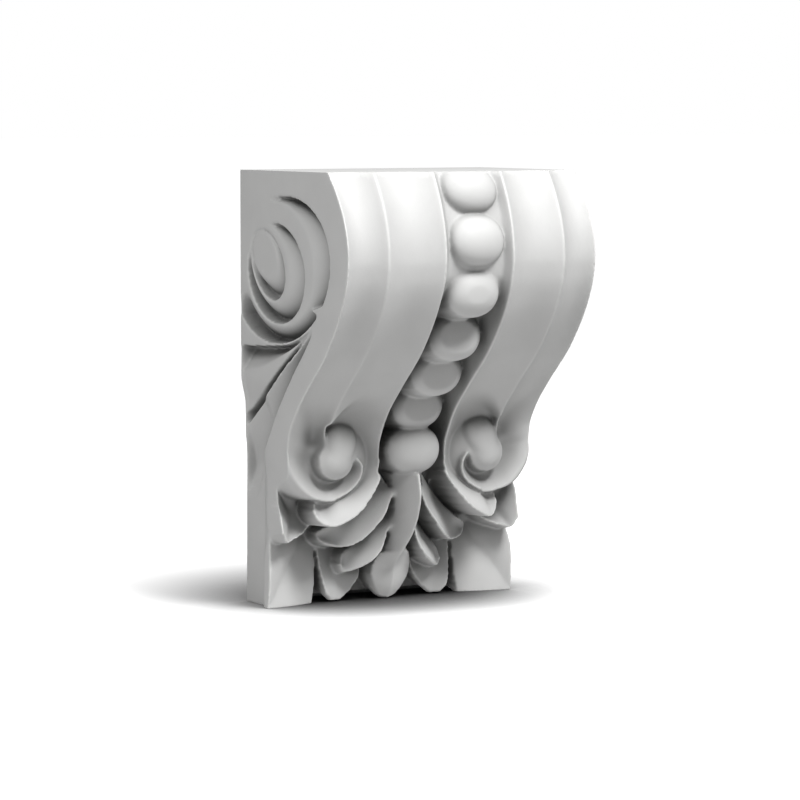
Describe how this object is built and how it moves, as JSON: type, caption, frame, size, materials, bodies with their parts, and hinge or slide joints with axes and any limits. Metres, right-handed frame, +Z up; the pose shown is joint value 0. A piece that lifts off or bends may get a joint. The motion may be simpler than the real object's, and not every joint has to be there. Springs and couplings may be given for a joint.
{
  "type": "scrolled corbel",
  "caption": "Cast corbel: S-shaped hollow bands and a beaded channel above small scrolls and an acanthus foot, with a volute on each side.",
  "frame": {"origin": "centre of the flat back, where it meets the wall", "axes": "+Z up along the wall, +Y out of the flat back into the wall, so the carved front looks along -Y, +X to the viewer's right of the front"},
  "size_m": [0.1954, 0.1629, 0.3],
  "materials": {
    "cast_plaster": "matte white cast gypsum plaster with soft edges, unpainted"
  },
  "bodies": {
    "root": {"corbel": "cast_plaster"}
  },
  "joints": []
}
